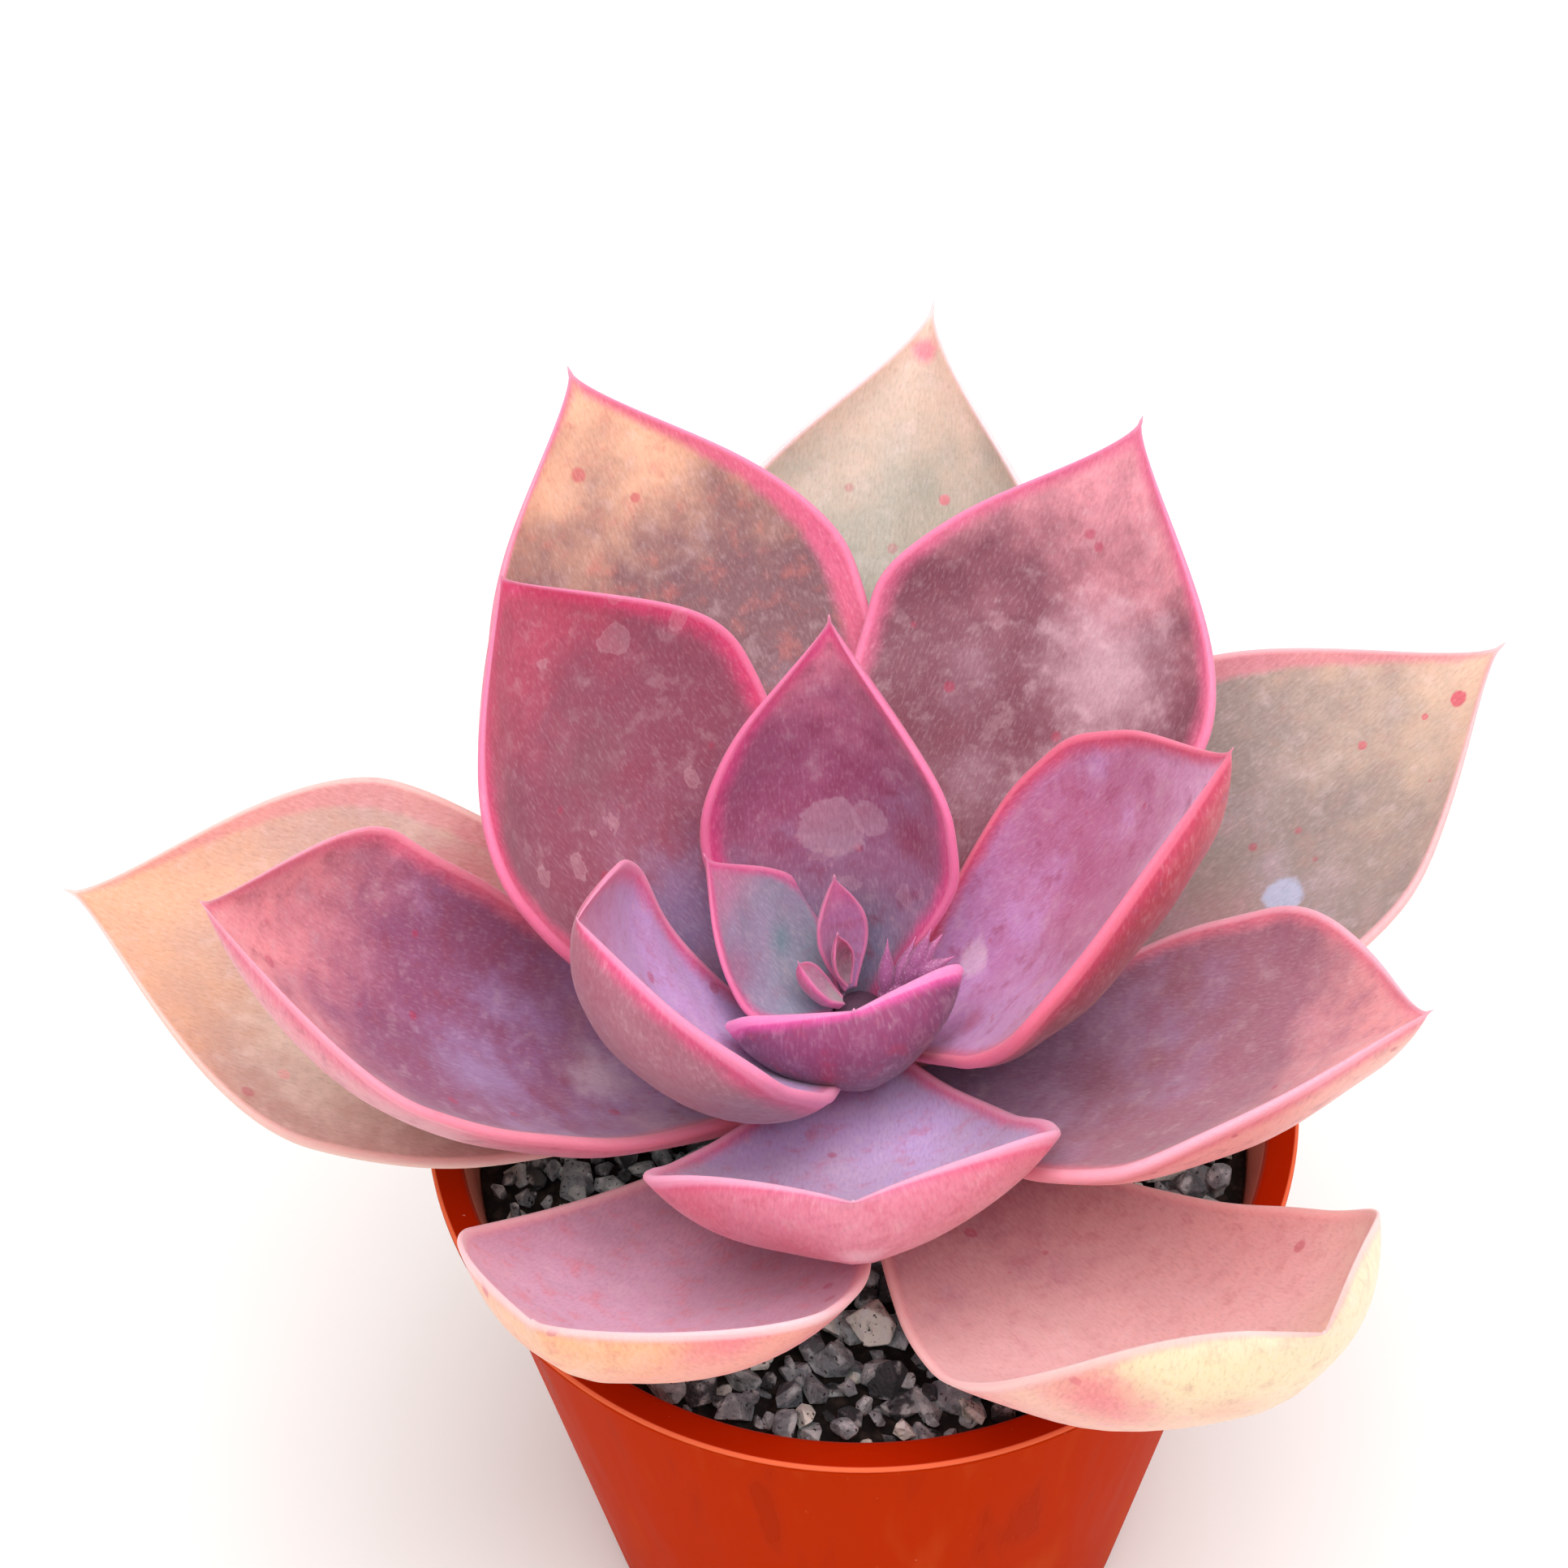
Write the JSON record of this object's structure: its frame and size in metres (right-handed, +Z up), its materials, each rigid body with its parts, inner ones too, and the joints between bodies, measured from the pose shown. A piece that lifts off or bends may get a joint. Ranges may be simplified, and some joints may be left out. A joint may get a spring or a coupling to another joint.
{
  "type": "potted succulent",
  "caption": "Rosette succulent with thick pointed pink and cream leaves, stem, roots and a young flower stalk, rooted in pumice grit in a round tapered plastic nursery pot",
  "frame": {"origin": "the middle of the pot's foot, on the surface it stands on", "axes": "+Z is up along the pot's axis; +Y points away from the side that the long front leaves lean towards; +X is to the right seen from that side"},
  "size_m": [0.145, 0.1284, 0.1336],
  "materials": {
    "pot_plastic": "injection moulded orange-brown plastic with a soft gloss and faint scratches",
    "grit": "grey pumice and granite grit with dark gaps",
    "grit_stone": "broken pale stones with black specks",
    "stem_bark": "matt green-brown living stem and roots",
    "leaf_dusky": "living leaf: mauve-pink with a powdery bloom and hot pink margins",
    "leaf_rose": "living leaf: crimson-pink with pale water marks",
    "leaf_cream": "living leaf: cream and gold, satin, pink at the margin",
    "leaf_peach": "living leaf: peach at the tip to grey-mauve at the base",
    "leaf_sage": "living young leaf: grey-green with a pink edge",
    "bud": "living flower buds, dusty pink"
  },
  "bodies": {
    "root": {"pot": "pot_plastic", "potting_mix": "grit", "grit_stone_01": "grit_stone", "grit_stone_02": "grit_stone", "grit_stone_03": "grit_stone", "grit_stone_04": "grit_stone", "grit_stone_05": "grit_stone", "grit_stone_06": "grit_stone", "grit_stone_07": "grit_stone", "grit_stone_08": "grit_stone", "grit_stone_09": "grit_stone", "grit_stone_10": "grit_stone", "grit_stone_11": "grit_stone", "grit_stone_12": "grit_stone", "grit_stone_13": "grit_stone", "grit_stone_14": "grit_stone", "grit_stone_15": "grit_stone", "grit_stone_16": "grit_stone", "grit_stone_17": "grit_stone", "grit_stone_18": "grit_stone", "stem": "stem_bark", "back_leaf": "leaf_cream", "front_right_leaf": "leaf_peach", "left_leaf": "leaf_cream", "right_leaf": "leaf_cream", "front_left_leaf": "leaf_peach", "back_left_leaf": "leaf_peach", "right_lower_leaf": "leaf_dusky", "left_middle_leaf": "leaf_dusky", "back_right_leaf": "leaf_dusky", "front_leaf": "leaf_dusky", "left_back_leaf": "leaf_rose", "right_middle_leaf": "leaf_rose", "left_inner_leaf": "leaf_dusky", "centre_back_leaf": "leaf_rose", "front_inner_leaf": "leaf_rose", "back_inner_leaf": "leaf_sage", "heart_leaf_tall": "leaf_dusky", "heart_leaf_left": "leaf_sage", "heart_leaf_back": "leaf_sage", "flower_stalk": "bud"}
  },
  "joints": []
}
